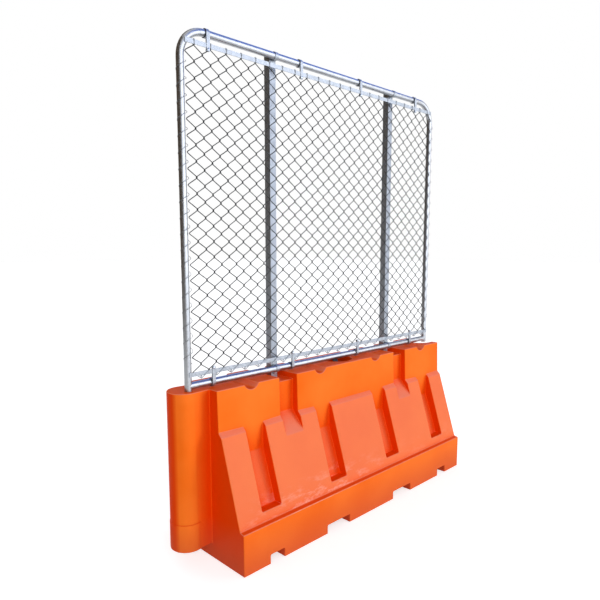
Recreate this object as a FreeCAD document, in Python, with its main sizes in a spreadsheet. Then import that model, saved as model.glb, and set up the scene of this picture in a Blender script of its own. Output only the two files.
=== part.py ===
import FreeCAD, Part
import math
import os
import Sketcher

# Water-ballasted road barrier of moulded polyethylene that carries a chain-link fence panel.
# Millimetres. X runs along the barrier, Z is up, the fence leans on the -Y side of its posts.
# The origin is on the ground, midway between the barrier's two end faces.
doc = FreeCAD.newDocument("barrier_fence_panel")

# Driving dimensions, one named cell each
DIMENSIONS = {
    "body_length": 2328,
    "body_height": 1043,
    "base_width": 780,
    "kerb_height": 253,
    "ledge_rise": 5,
    "slope_foot_width": 714,
    "shoulder_height": 795,
    "shoulder_width": 340,
    "shoulder_chamfer": 25,
    "top_width": 322,
    "wall": 7,
    "bay_pitch": 604,
    "pocket_width": 152,
    "pocket_knee_height": 628,
    "pocket_floor_height": 312,
    "pocket_inset": 110,
    "slot_width": 153,
    "slot_recess": 40,
    "slot_foot_height": 800,
    "slot_runout_height": 677,
    "slot_groove_depth": 40,
    "groove_radius": 59,
    "groove_depth": 34.5,
    "fork_offset": 357,
    "fork_width": 218,
    "notch_width": 110,
    "notch_height": 57,
    "tongue_reach": 116,
    "tongue_radius": 99,
    "tongue_neck_width": 172,
    "tongue_foot_height": 95,
    "tongue_collar_height": 262,
    "tongue_collar_step": 2.5,
    "socket_reach": 60,
    "coupling_clearance": 4,
    "filler_offset": 28,
    "filler_radius": 121,
    "filler_depth": 72,
    "filler_mouth_radius": 70,
    "cap_radius": 92,
    "cap_thickness": 24,
    "cap_grip_length": 150,
    "cap_grip_width": 36,
    "cap_grip_height": 42,
    "cap_grip_turn": 47,
    "cap_plug_depth": 20,
    "cap_clearance": 0.3,
    "tube_diameter": 42,
    "tube_wall": 2.4,
    "hoop_width": 2396,
    "hoop_height": 1974,
    "bend_radius": 152,
    "rail_lift": 29,
    "post_size": 50,
    "post_wall": 3,
    "post_clearance": 0.3,
    "post_socket_depth": 400,
    "bar_height": 25,
    "bar_thickness": 5,
    "bar_offset": 68,
    "top_bar_inset": 18,
    "bottom_bar_overrun": 5,
    "band_width": 22,
    "band_thickness": 2,
    "band_reach": 98,
    "band_clearance": 0.2,
    "clamp_width": 26,
    "clamp_thickness": 3,
    "clamp_long_tab": 66,
    "clamp_short_tab": 20,
    "mesh_pitch_z": 87,
    "mesh_wire": 4.2,
    "mesh_columns": 22,
    "mesh_side_columns": 7,
    "mesh_row_offset": 13,
}

# Places along the rails of the bands that hold the tension bars, from the left upright's axis
TOP_BAND_PLACES = (166, 882, 1474, 2152)
BOTTOM_BAND_PLACES = (162, 804, 1475, 2154)

sizes = doc.addObject("Spreadsheet::Sheet", "sizes")


def write_cell(row, alias, value):
    sizes.set(f"A{row}", alias)
    sizes.set(f"B{row}", str(value))
    sizes.setAlias(f"B{row}", alias)


CELLS = dict(DIMENSIONS)
for rail_name, places in (("top", TOP_BAND_PLACES), ("bottom", BOTTOM_BAND_PLACES)):
    for number, place in enumerate(places, start=1):
        CELLS[f"{rail_name}_band_place_{number}"] = place
for row, (alias, value) in enumerate(CELLS.items(), start=1):
    write_cell(row, alias, value)
doc.recompute()

# Sizes that follow from the driving ones, as expressions
S = {alias: f"sizes.{alias}" for alias in CELLS}
LEFT_END = f"(-{S['body_length']} / 2)"
RIGHT_END = f"({S['body_length']} / 2)"
TUBE_RADIUS = f"({S['tube_diameter']} / 2)"
TUBE_BORE = f"({TUBE_RADIUS} - {S['tube_wall']})"
HOOP_LEFT = f"({LEFT_END} - {S['tongue_reach']})"
HOOP_RIGHT = f"({HOOP_LEFT} + {S['hoop_width']})"
POST_FRONT = f"(-{S['post_size']} / 2)"
HOOP_Y = f"({POST_FRONT} - {TUBE_RADIUS})"
TOP_RAIL_Z = f"({S['body_height']} + {S['hoop_height']})"
BOTTOM_RAIL_Z = f"({S['body_height']} + {S['rail_lift']})"
BAR_BACK = f"({HOOP_Y} - {TUBE_RADIUS})"
BAR_FRONT = f"({BAR_BACK} - {S['bar_thickness']})"
TOP_BAR_Z = f"({TOP_RAIL_Z} - {S['bar_offset']})"
BOTTOM_BAR_Z = f"({BOTTOM_RAIL_Z} + {S['bar_offset']})"
SLOT_FLOOR = f"({S['body_height']} - {S['slot_groove_depth']})"
SLOPE_FOOT_Z = f"({S['kerb_height']} + {S['ledge_rise']})"
SHOULDER_FOOT_Z = f"({S['shoulder_height']} - {S['shoulder_chamfer']})"
OUTSIDE = S["base_width"]
CAP_SEAT = f"({S['body_height']} - {S['filler_depth']})"
SLOPE_TOP_Y = f"({S['shoulder_width']} / 2 + {S['shoulder_chamfer']})"
SLOPE_LEAN = f"(({S['slope_foot_width']} / 2 - {SLOPE_TOP_Y}) / ({SHOULDER_FOOT_Z} - {SLOPE_FOOT_Z}))"
SLOT_RUNOUT_Y = f"({SLOPE_TOP_Y} + {SLOPE_LEAN} * ({SHOULDER_FOOT_Z} - {S['slot_runout_height']}))"
MESH_WIDTH = f"({S['hoop_width']} - {S['tube_diameter']})"
MESH_PITCH_X = f"({MESH_WIDTH} / {S['mesh_columns']})"
NO_INSET = "0"

# Places along the barrier, in bays: pockets and grooves off the middle, slots one bay out
POCKET_BAYS = ("-1.5", "-0.5", "0.5", "1.5")
DRAIN_BAY = "1.5"
SIDES = ("-1", "1")
QUARTER_TURN = 90

AXIS_OF = {"YZ": "Placement.Base.x", "XY": "Placement.Base.z"}
TURN_OF = {
    "YZ": FreeCAD.Rotation(FreeCAD.Vector(1, 1, 1), 120),
    "XY": FreeCAD.Rotation(),
}
ALONG_X = FreeCAD.Rotation(FreeCAD.Vector(0, 1, 0), QUARTER_TURN)
ALONG_Y = FreeCAD.Rotation(FreeCAD.Vector(1, 0, 0), -QUARTER_TURN)


def value_of(expression):
    return float(sizes.evalExpression(expression))


def bind(item, expressions):
    for path, expression in expressions.items():
        item.setExpression(path, expression)
    return item


def placed(item, x="0", y="0", z="0"):
    return bind(item, {"Placement.Base.x": x, "Placement.Base.y": y, "Placement.Base.z": z})


def outline(name, plane, offset, corners):
    """A closed polygon whose corners are pairs of expressions, in a plane at the given offset."""
    sketch = doc.addObject("Sketcher::SketchObject", name)
    sketch.Placement = FreeCAD.Placement(FreeCAD.Vector(), TURN_OF[plane])
    sketch.setExpression(AXIS_OF[plane], offset)
    points = [FreeCAD.Vector(value_of(a), value_of(b), 0) for a, b in corners]
    count = len(points)
    for i in range(count):
        sketch.addGeometry(Part.LineSegment(points[i], points[(i + 1) % count]))
    for i in range(count):
        sketch.addConstraint(Sketcher.Constraint("Coincident", i, 2, (i + 1) % count, 1))
    for i, (across, up) in enumerate(corners):
        for kind, start, expression in (("DistanceX", points[i].x, across), ("DistanceY", points[i].y, up)):
            place = sketch.addConstraint(Sketcher.Constraint(kind, -1, 1, i, 1, start))
            sketch.setExpression(f"Constraints[{place}]", expression)
    return sketch


def prism(name, sketch, length):
    item = doc.addObject("Part::Extrusion", name)
    item.Base = sketch
    item.DirMode = "Normal"
    item.Solid = True
    return bind(item, {"LengthFwd": length})


def box(name, x, y, z, length, width, height):
    item = doc.addObject("Part::Box", name)
    bind(item, {"Length": length, "Width": width, "Height": height})
    return placed(item, x, y, z)


def cylinder(name, radius, length, x, y, z, turn=None):
    item = doc.addObject("Part::Cylinder", name)
    if turn:
        item.Placement = FreeCAD.Placement(FreeCAD.Vector(), turn)
    bind(item, {"Radius": radius, "Height": length})
    return placed(item, x, y, z)


def fuse(name, items):
    item = doc.addObject("Part::MultiFuse", name)
    item.Shapes = items
    item.Refine = True
    return item


def cut(name, base, tool):
    item = doc.addObject("Part::Cut", name)
    item.Base = base
    item.Tool = tool
    return item


def mirror_front_to_back(name, source):
    item = doc.addObject("Part::Mirroring", name)
    item.Source = source
    item.Normal = FreeCAD.Vector(0, 1, 0)
    return item


def named(item, label):
    item.Label = label
    return item


def half_profile(inset):
    """The barrier's front half section from the ground up, drawn in by the inset."""
    return [
        (f"-({S['base_width']} / 2 - {inset})", inset),
        (f"-({S['base_width']} / 2 - {inset})", f"{S['kerb_height']} - {inset}"),
        (f"-({S['slope_foot_width']} / 2 - {inset})", f"{SLOPE_FOOT_Z} - {inset}"),
        (f"-({SLOPE_TOP_Y} - {inset})", f"{SHOULDER_FOOT_Z} - {inset}"),
        (f"-({S['shoulder_width']} / 2 - {inset})", f"{S['shoulder_height']} - {inset}"),
        (f"-({S['top_width']} / 2 - {inset})", f"{S['body_height']} - {inset}"),
    ]


def full_profile(inset):
    front = half_profile(inset)
    back = [(f"-({y})", z) for y, z in reversed(front)]
    return front + back


def recess(name, centre, width, section):
    """A straight-sided recess cut from the front, of one side view all along its width."""
    return prism(name, outline(f"{name}_section", "YZ", f"{centre} - ({width}) / 2", section), width)


def pocket_section(grow):
    """Side view of a stacking pocket: flush with the upper wall, then along the slope, on a level floor."""
    wall_y = f"-({S['shoulder_width']} / 2) + {grow}"
    foot_y = f"-({S['shoulder_width']} / 2 + {S['pocket_inset']}) + {grow}"
    return [
        (wall_y, f"{S['shoulder_height']}"),
        (wall_y, S["pocket_knee_height"]),
        (foot_y, f"{S['pocket_floor_height']} - {grow}"),
        (f"-{OUTSIDE}", f"{S['pocket_floor_height']} - {grow}"),
        (f"-{OUTSIDE}", f"{S['shoulder_height']}"),
    ]


def slot_section(grow):
    """Side view of a post slot: upright face, then a ramp that runs out on the slope."""
    face_y = f"-({S['top_width']} / 2 - {S['slot_recess']}) + {grow}"
    above = f"{S['body_height']} + {S['wall']}"
    runout_z = f"{S['slot_runout_height']} - {grow}"
    return [
        (face_y, above),
        (face_y, f"{S['slot_foot_height']} - {grow}"),
        (f"-{SLOT_RUNOUT_Y} + {grow}", runout_z),
        (f"-{OUTSIDE}", runout_z),
        (f"-{OUTSIDE}", above),
    ]


def front_recesses(stem, grow):
    """All pockets and slots of the front side, drawn larger all round by the growth."""
    items = []
    for i, bays in enumerate(POCKET_BAYS):
        items.append(recess(f"{stem}_pocket_{i}", f"{bays} * {S['bay_pitch']}",
                            f"{S['pocket_width']} + 2 * {grow}", pocket_section(grow)))
    for i, side in enumerate(SIDES):
        items.append(recess(f"{stem}_slot_{i}", f"{side} * {S['bay_pitch']}",
                            f"{S['slot_width']} + 2 * {grow}", slot_section(grow)))
    return items


def through_cuts(stem, grow):
    """Top grooves, slot grooves, fork tunnels and drain notches, all running from front to back."""
    items = []
    for i, bays in enumerate(POCKET_BAYS):
        items.append(cylinder(
            f"{stem}_groove_{i}", f"{S['groove_radius']} + {grow}", f"2 * {OUTSIDE}",
            f"{bays} * {S['bay_pitch']}", f"-{OUTSIDE}",
            f"{S['body_height']} + {S['groove_radius']} - {S['groove_depth']}", ALONG_Y))
    for i, side in enumerate(SIDES):
        items.append(box(
            f"{stem}_slot_groove_{i}",
            f"{side} * {S['bay_pitch']} - {S['slot_width']} / 2 - {grow}", f"-{OUTSIDE}",
            f"{SLOT_FLOOR} - {grow}",
            f"{S['slot_width']} + 2 * {grow}", f"2 * {OUTSIDE}", S["body_height"]))
        for kind, centre, width in (("fork", S["fork_offset"], S["fork_width"]),
                                    ("drain", f"{DRAIN_BAY} * {S['bay_pitch']}", S["notch_width"])):
            items.append(box(
                f"{stem}_{kind}_{i}",
                f"{side} * {centre} - {width} / 2 - {grow}", f"-{OUTSIDE}", f"-{OUTSIDE}",
                f"{width} + 2 * {grow}", f"2 * {OUTSIDE}", f"{OUTSIDE} + {S['notch_height']} + {grow}"))
    return items


def post_sockets(stem, grow):
    size = f"({S['post_size']} + 2 * {S['post_clearance']} + 2 * {grow})"
    return [box(f"{stem}_post_{i}", f"{side} * {S['bay_pitch']} - {size} / 2", f"-{size} / 2",
                f"{SLOT_FLOOR} - {S['post_socket_depth']} - {grow}", size, size, S["body_height"])
            for i, side in enumerate(SIDES)]


def coupling_socket(stem, grow):
    """The upright channel in the right end that takes the next barrier's tongue."""
    radius = f"({S['tongue_radius']} + {S['coupling_clearance']} + {grow})"
    axis_x = f"{RIGHT_END} - {S['socket_reach']}"
    below = f"-{S['body_height']} / 2"
    height = f"2 * {S['body_height']}"
    bore = cylinder(f"{stem}_socket_bore", radius, height, axis_x, "0", below)
    throat = box(f"{stem}_socket_throat", axis_x, f"-{radius}", below,
                 f"2 * {S['socket_reach']}", f"2 * {radius}", height)
    return [bore, throat]


def filler_well(stem, grow):
    """The round well in the top with the filler mouth in its floor."""
    return [cylinder(f"{stem}_well", f"{S['filler_radius']} + {grow}", f"2 * {S['filler_depth']}",
                     S["filler_offset"], "0", f"{CAP_SEAT} - {grow}")]


def tongue_pieces(stem, inset):
    """The upright nose of the left end: a round bar on a neck, with a slightly fuller collar at its foot."""
    foot = f"{S['tongue_foot_height']} + {inset}"
    height = f"{S['body_height']} - {S['tongue_foot_height']} - 2 * {inset}"
    collar = f"{S['tongue_collar_height']} - {S['tongue_foot_height']} - 2 * {inset}"
    nose = cylinder(f"{stem}_nose", f"{S['tongue_radius']} - {inset}", height, HOOP_LEFT, "0", foot)
    full = cylinder(f"{stem}_collar", f"{S['tongue_radius']} + {S['tongue_collar_step']} - {inset}", collar,
                    HOOP_LEFT, "0", foot)
    neck_y = f"({S['tongue_neck_width']} / 2 - {inset})"
    nose_y = f"({S['tongue_radius']} - {inset})"
    root = f"{LEFT_END} + 2 * {S['wall']}"
    neck = prism(f"{stem}_neck", outline(f"{stem}_neck_plan", "XY", foot, [
        (HOOP_LEFT, f"-{nose_y}"), (root, f"-{neck_y}"), (root, neck_y), (HOOP_LEFT, nose_y)]), height)
    return [nose, full, neck]


# Barrier: one hollow rotationally moulded shell, its recesses walled like its outside
outer = fuse("outer_form", [
    prism("outer_body", outline("outer_section", "YZ", LEFT_END, full_profile(NO_INSET)), S["body_length"]),
    *tongue_pieces("outer", NO_INSET),
])
room = fuse("inner_room", [
    prism("room_body", outline("room_section", "YZ", f"{LEFT_END} + {S['wall']}", full_profile(S["wall"])),
          f"{S['body_length']} - 2 * {S['wall']}"),
    *tongue_pieces("room", S["wall"]),
])
liner_front = fuse("liner_front", front_recesses("liner", S["wall"]))
liners = fuse("liners", [
    liner_front,
    mirror_front_to_back("liner_back", liner_front),
    *through_cuts("liner", S["wall"]),
    *post_sockets("liner", S["wall"]),
    *coupling_socket("liner", S["wall"]),
    *filler_well("liner", S["wall"]),
])
cutter_front = fuse("cutter_front", front_recesses("cutter", NO_INSET))
cutters = fuse("cutters", [
    cutter_front,
    mirror_front_to_back("cutter_back", cutter_front),
    *through_cuts("cutter", NO_INSET),
    *post_sockets("cutter", NO_INSET),
    *coupling_socket("cutter", NO_INSET),
    *filler_well("cutter", NO_INSET),
    cylinder("cutter_mouth", S["filler_mouth_radius"], f"2 * {S['filler_depth']}",
             S["filler_offset"], "0", f"{CAP_SEAT} - {S['filler_depth']}"),
])
hollow = cut("hollow", room, liners)
barrier_shell = named(cut("shell", cut("hollowed", outer, hollow), cutters), "barrier_shell")

# Filler cap: flat lid with a bar grip, its plug down in the mouth of the well
grip = box(
    "cap_grip",
    f"{S['filler_offset']} - cos({S['cap_grip_turn']}) * {S['cap_grip_length']} / 2"
    f" + sin({S['cap_grip_turn']}) * {S['cap_grip_width']} / 2",
    f"-sin({S['cap_grip_turn']}) * {S['cap_grip_length']} / 2"
    f" - cos({S['cap_grip_turn']}) * {S['cap_grip_width']} / 2",
    f"{CAP_SEAT} + {S['cap_thickness']} / 2",
    S["cap_grip_length"], S["cap_grip_width"], S["cap_grip_height"],
)
bind(grip, {"Placement.Rotation.Angle": S["cap_grip_turn"]})
filler_cap = named(fuse("cap", [
    cylinder("cap_lid", S["cap_radius"], S["cap_thickness"], S["filler_offset"], "0", CAP_SEAT),
    cylinder("cap_plug", f"{S['filler_mouth_radius']} - {S['cap_clearance']}", S["cap_plug_depth"],
             S["filler_offset"], "0", f"{CAP_SEAT} - {S['cap_plug_depth']}"),
    grip,
]), "filler_cap")


# Fence hoop: one bent tube, two uprights and the top rail
def hoop_pieces(stem, radius, overrun):
    """The uprights, the top rail and the two quarter bends, all of one radius."""
    straight = f"{S['hoop_height']} - {S['bend_radius']} + {overrun}"
    foot = f"{S['body_height']} - {overrun}"
    bend_z = f"{TOP_RAIL_Z} - {S['bend_radius']}"
    pieces = [
        cylinder(f"{stem}_left_upright", radius, straight, HOOP_LEFT, HOOP_Y, foot),
        cylinder(f"{stem}_right_upright", radius, straight, HOOP_RIGHT, HOOP_Y, foot),
        cylinder(f"{stem}_top_rail", radius, f"{S['hoop_width']} - 2 * {S['bend_radius']}",
                 f"{HOOP_LEFT} + {S['bend_radius']}", HOOP_Y, TOP_RAIL_Z, ALONG_X),
    ]
    upright = FreeCAD.Rotation(FreeCAD.Vector(1, 0, 0), QUARTER_TURN)
    for side, centre, start in (("left", f"{HOOP_LEFT} + {S['bend_radius']}", QUARTER_TURN),
                                ("right", f"{HOOP_RIGHT} - {S['bend_radius']}", 0)):
        bend = doc.addObject("Part::Torus", f"{stem}_{side}_bend")
        turn = upright * FreeCAD.Rotation(FreeCAD.Vector(0, 0, 1), start)
        bend.Placement = FreeCAD.Placement(FreeCAD.Vector(), turn)
        bend.Angle3 = QUARTER_TURN
        bind(bend, {"Radius1": S["bend_radius"], "Radius2": radius})
        pieces.append(placed(bend, centre, HOOP_Y, bend_z))
    return pieces


hoop_solid = fuse("hoop_solid", hoop_pieces("hoop", TUBE_RADIUS, NO_INSET))
hoop_hollow = fuse("hoop_hollow", hoop_pieces("hoop_bore", TUBE_BORE, S["tube_wall"]))
fence_hoop = named(cut("hoop_tube", hoop_solid, hoop_hollow), "fence_hoop")

# Bottom rail: straight tube, its ends coped to the uprights
rail_bore, rail_solid = [
    cylinder(f"rail_{form}", radius, S["hoop_width"], HOOP_LEFT, HOOP_Y, BOTTOM_RAIL_Z, ALONG_X)
    for form, radius in (("bore", TUBE_BORE), ("solid", TUBE_RADIUS))
]
copes = [cylinder(f"rail_cope_{i}", TUBE_RADIUS, S["hoop_height"], x, HOOP_Y, S["body_height"])
         for i, x in enumerate((HOOP_LEFT, HOOP_RIGHT))]
bottom_rail = named(cut("rail_tube", rail_solid, fuse("rail_cuts", [rail_bore, *copes])), "bottom_rail")


# Square posts: tubes that stand in the barrier's sockets behind both rails
def square_post(side, sign):
    foot = f"{SLOT_FLOOR} - {S['post_socket_depth']}"
    length = f"{TOP_RAIL_Z} + {TUBE_RADIUS} - ({foot})"
    centre = f"{sign} * {S['bay_pitch']}"
    inside = f"({S['post_size']} - 2 * {S['post_wall']})"
    solid, bore = [
        box(f"{side}_post_{form}", f"{centre} - {size} / 2", f"-{size} / 2", foot, size, size, length)
        for form, size in (("solid", S["post_size"]), ("bore", inside))
    ]
    return named(cut(f"{side}_post_tube", solid, bore), f"{side}_post")


posts = [square_post("left", "-1"), square_post("right", "1")]


# Tension bars: flat bars in front of the uprights that carry the mesh's end loops
def tension_bar(rail_name, height, start, length):
    bar = box(f"{rail_name}_bar", start, BAR_FRONT, f"{height} - {S['bar_height']} / 2",
              length, S["bar_thickness"], S["bar_height"])
    return named(bar, f"{rail_name}_tension_bar")


bars = [
    tension_bar("top", TOP_BAR_Z, f"{HOOP_LEFT} + {S['top_bar_inset']}",
                f"{S['hoop_width']} - 2 * {S['top_bar_inset']}"),
    tension_bar("bottom", BOTTOM_BAR_Z, f"{HOOP_LEFT} - {S['bottom_bar_overrun']}",
                f"{S['hoop_width']} + 2 * {S['bottom_bar_overrun']}"),
]


# Tension bands: straps looped over a rail, their two legs past the bar
def tension_band(label, place, rail_z, legs_up):
    """The loop bears on the tube's back and its legs lie on both faces of the bar."""
    loop_radius = f"(({POST_FRONT} - {BAR_FRONT} + {S['band_clearance']}) / 2)"
    loop_y = f"({BAR_FRONT} + {loop_radius})"
    start = f"{HOOP_LEFT} + {place} - {S['band_width']} / 2"
    leg = S["band_reach"]
    leg_foot = rail_z if legs_up else f"{rail_z} - {leg}"
    band = fuse(f"{label}_form", [
        cylinder(f"{label}_ring", f"{loop_radius} + {S['band_thickness']}", S["band_width"],
                 start, loop_y, rail_z, ALONG_X),
        box(f"{label}_legs", start, f"{BAR_FRONT} - {S['band_thickness']}", leg_foot, S["band_width"],
            f"{S['bar_thickness']} + 2 * {S['band_thickness']}", leg),
    ])
    room_inside = fuse(f"{label}_room", [
        cylinder(f"{label}_bore", loop_radius, S["band_width"], start, loop_y, rail_z, ALONG_X),
        box(f"{label}_gap", start, BAR_FRONT, leg_foot, S["band_width"], S["bar_thickness"], leg),
    ])
    return named(cut(f"{label}_strap", band, room_inside), label)


bands = []
for rail_name, rail_z, legs_up, places in (("top", TOP_RAIL_Z, False, TOP_BAND_PLACES),
                                           ("bottom", BOTTOM_RAIL_Z, True, BOTTOM_BAND_PLACES)):
    for number in range(1, len(places) + 1):
        place = S[f"{rail_name}_band_place_{number}"]
        bands.append(tension_band(f"{rail_name}_band_{number}", place, rail_z, legs_up))


# Post clamps: saddle straps round the front of a rail, tabs flat on the post
def post_clamp(label, sign, rail_z, tab_up, tab_down):
    start = f"{sign} * {S['bay_pitch']} - {S['clamp_width']} / 2"
    bore = f"({TUBE_RADIUS} + {S['band_clearance']})"
    strap = f"({bore} + {S['clamp_thickness']})"
    ring = cylinder(f"{label}_ring", strap, S["clamp_width"], start, HOOP_Y, rail_z, ALONG_X)
    tabs = box(f"{label}_tabs", start, f"{POST_FRONT} - {S['clamp_thickness']}", f"{rail_z} - {tab_down}",
               S["clamp_width"], S["clamp_thickness"], f"{tab_down} + {tab_up}")
    behind = box(f"{label}_behind", start, POST_FRONT, f"{rail_z} - {strap}",
                 S["clamp_width"], strap, f"2 * {strap}")
    inside = cylinder(f"{label}_bore", bore, S["clamp_width"], start, HOOP_Y, rail_z, ALONG_X)
    form = fuse(f"{label}_form", [ring, tabs])
    return named(cut(f"{label}_strap", form, fuse(f"{label}_cuts", [behind, inside])), label)


LONG_TAB = f"({TUBE_RADIUS} + {S['clamp_long_tab']})"
SHORT_TAB = f"({TUBE_RADIUS} + {S['clamp_short_tab']})"
clamps = []
for side, sign in (("left", "-1"), ("right", "1")):
    clamps.append(post_clamp(f"top_clamp_{side}", sign, TOP_RAIL_Z, TUBE_RADIUS, LONG_TAB))
    clamps.append(post_clamp(f"bottom_clamp_{side}", sign, BOTTOM_RAIL_Z, LONG_TAB, SHORT_TAB))


# Chain-link mesh between the bars: a flat lattice of square bars, fused where they cross
def lattice(label, first_column, last_column):
    """A plate with diamond holes, cut square at the bars and at whole columns."""
    pitch_x = value_of(MESH_PITCH_X)
    pitch_z = value_of(S["mesh_pitch_z"])
    wire = value_of(S["mesh_wire"])
    low = value_of(f"{BOTTOM_BAR_Z} + {S['bar_height']} / 2")
    high = value_of(f"{TOP_BAR_Z} - {S['bar_height']} / 2")
    origin_x = value_of(f"{HOOP_LEFT} + {TUBE_RADIUS}")
    origin_z = value_of(f"{BOTTOM_BAR_Z} + {S['mesh_row_offset']}")
    back = value_of(f"{BAR_BACK} - ({S['bar_thickness']} - {S['mesh_wire']}) / 2")
    depth = FreeCAD.Vector(0, -wire, 0)
    start = origin_x + first_column * pitch_x
    end = origin_x + last_column * pitch_x
    half_x = pitch_x / 2
    half_z = pitch_z / 2
    wire_angle = math.atan2(half_z, half_x)
    hole_x = half_x - wire / 2 / math.sin(wire_angle)
    hole_z = half_z - wire / 2 / math.cos(wire_angle)
    first_row = math.floor((low - origin_z) / half_z) - 1
    last_row = math.ceil((high - origin_z) / half_z) + 1
    holes = []
    for column in range(2 * first_column, 2 * last_column + 1):
        for row in range(first_row, last_row + 1):
            if (column + row) % 2 == 0:
                continue
            x = origin_x + column * half_x
            z = origin_z + row * half_z
            corners = [(x - hole_x, z), (x, z - hole_z), (x + hole_x, z), (x, z + hole_z), (x - hole_x, z)]
            face = Part.Face(Part.makePolygon([FreeCAD.Vector(a, back, b) for a, b in corners]))
            holes.append(face.extrude(depth))
    plate = Part.makeBox(end - start, wire, high - low, FreeCAD.Vector(start, back - wire, low))
    item = doc.addObject("Part::Feature", label)
    item.Shape = plate.cut(Part.makeCompound(holes))
    item.Placement = FreeCAD.Placement()
    return named(item, label)


side_columns = int(value_of(S["mesh_side_columns"]))
all_columns = int(value_of(S["mesh_columns"]))
meshes = [
    lattice("mesh_left", 0, side_columns),
    lattice("mesh_middle", side_columns, all_columns - side_columns),
    lattice("mesh_right", all_columns - side_columns, all_columns),
]

doc.recompute()

nodes = [barrier_shell, filler_cap, fence_hoop, bottom_rail, *posts, *bars, *bands, *clamps, *meshes]
for item in doc.Objects:
    if "Invalid" in item.State or "Error" in item.State:
        raise RuntimeError(f"{item.Label} did not recompute")
for node in nodes:
    if node.Shape.isNull() or not node.Shape.isValid():
        raise RuntimeError(f"{node.Label} has no valid shape")

os.makedirs("parts", exist_ok=True)
for node in nodes:
    node.Shape.exportStep(f"parts/{node.Label}.step")
    print(node.Label, len(node.Shape.Solids), round(node.Shape.Volume))
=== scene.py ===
import math

import bmesh
import bpy
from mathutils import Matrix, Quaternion, Vector


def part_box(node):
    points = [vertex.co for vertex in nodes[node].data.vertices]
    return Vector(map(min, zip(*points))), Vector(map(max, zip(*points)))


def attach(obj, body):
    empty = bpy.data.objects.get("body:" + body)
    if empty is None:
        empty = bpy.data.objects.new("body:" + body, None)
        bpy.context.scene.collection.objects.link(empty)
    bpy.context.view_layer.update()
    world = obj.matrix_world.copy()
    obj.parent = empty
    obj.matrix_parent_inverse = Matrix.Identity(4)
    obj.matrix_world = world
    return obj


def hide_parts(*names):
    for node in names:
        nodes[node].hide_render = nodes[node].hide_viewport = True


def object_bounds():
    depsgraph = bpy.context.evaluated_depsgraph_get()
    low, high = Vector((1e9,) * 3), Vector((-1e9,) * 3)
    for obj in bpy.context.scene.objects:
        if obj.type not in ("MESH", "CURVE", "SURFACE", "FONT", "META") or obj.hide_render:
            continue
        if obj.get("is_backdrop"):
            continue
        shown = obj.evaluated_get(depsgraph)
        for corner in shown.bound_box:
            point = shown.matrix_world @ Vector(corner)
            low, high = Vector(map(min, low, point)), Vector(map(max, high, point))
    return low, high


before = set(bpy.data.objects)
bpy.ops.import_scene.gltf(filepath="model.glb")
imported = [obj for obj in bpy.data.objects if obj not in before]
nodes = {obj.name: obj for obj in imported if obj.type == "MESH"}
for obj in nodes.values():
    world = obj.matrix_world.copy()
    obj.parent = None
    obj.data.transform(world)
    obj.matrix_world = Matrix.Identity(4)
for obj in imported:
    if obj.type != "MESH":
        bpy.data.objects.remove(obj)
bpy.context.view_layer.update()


# Barrier moulding: the hollow body that stands on the ground and holds the ballast water.
# Orange polyethylene powder, melted on to the walls of a turning mould, so it is one piece with even walls.
# The mould's corners leave a small round on every edge, which catches the light.
def linear(hex_colour):
    """An sRGB hex colour as the linear RGBA that shader sockets take."""
    channels = [int(hex_colour[i:i + 2], 16) / 255 for i in (1, 3, 5)]
    return tuple(c / 12.92 if c <= 0.04045 else ((c + 0.055) / 1.055) ** 2.4 for c in channels) + (1.0,)


def grey(level):
    """A linear grey for ramps that hold a share and not a colour."""
    return (level, level, level, 1.0)


def add(tree, kind, inputs=None, stops=None, **settings):
    """A shader node with its settings, ramp stops, and inputs that are values or links."""
    made = tree.nodes.new(kind)
    for name, value in settings.items():
        setattr(made, name, value)
    for name, value in (inputs or {}).items():
        if isinstance(value, bpy.types.NodeSocket):
            tree.links.new(value, made.inputs[name])
        else:
            made.inputs[name].default_value = value
    if stops:
        elements = made.color_ramp.elements
        while len(elements) < len(stops):
            elements.new(1.0)
        for element, (place, colour) in zip(elements, stops):
            element.position = place
            element.color = colour
    return made


def blank_material(name):
    """A new material with an empty node tree."""
    material = bpy.data.materials.new(name)
    material.use_nodes = True
    material.node_tree.nodes.clear()
    return material, material.node_tree


# Rotomoulded polyethylene: satin, a little wavy where the wall cooled unevenly, pinker on the slopes with a
# painted sky sheen. Painted shade makes it deep red-orange in sheltered corners, on flats and on the ends.
# The foot of the slopes has pale rubs, and the kerb gets darker towards the bottom.
# The orange peel of the mould's face is a few millimetres across, drawn coarser so that it shows.
POLY_ORANGE = "#FE7A26"
POLY_DEEP = "#F56A12"
POLY_PAINTED_SHADE = "#E64000"
POLY_SKY_SHEEN = "#E67C62"
POLY_RUB = "#FAC3B4"
LOW_DARKER_ORANGE = "#CC5634"
SUN_PATCH = 0.45
WALL_WAVE = 0.30
ORANGE_PEEL = 0.012
# How far round a spot occlusion looks, and how open a spot is where painted shade is full and where none
SHADE_OCCLUSION_REACH = 0.16
SHADE_OCCLUSION_FROM_TO = (0.68, 0.94)
# Shares of the normal along the barrier and upwards at which a face has full painted shade, and at which
# none
END_LEAN = (0.97, 0.85)
FLAT_LEAN = (0.98, 0.86)
FLAT_UNSHADED_SHARE = 0.30
# Painted sky sheen against the upward share of the normal: none on walls, most on slopes, little on flats
SKY_SHEEN_LEANS = [(0.10, 0.0), (0.32, 0.55), (0.58, 0.95), (0.80, 0.95), (0.96, 0.08)]
# Rubs lie low on the slopes, strongest left of the middle
RUB_LENGTH = 0.16
RUB_WIDTH = 0.05
RUB_HEIGHTS = (0.42, 0.27)
RUB_LEANS = [(0.20, 0.0), (0.28, 1.0), (0.60, 1.0), (0.70, 0.0)]
RUB_MIDDLE = -0.45
RUB_SPREAD = (0.70, 0.20)
RUB_ELSEWHERE = 0.15
RUB_MOST = 0.9
LOW_DARKER_HEIGHTS = (0.28, 0.02)
LOW_DARKER_MOST = 0.7

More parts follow.
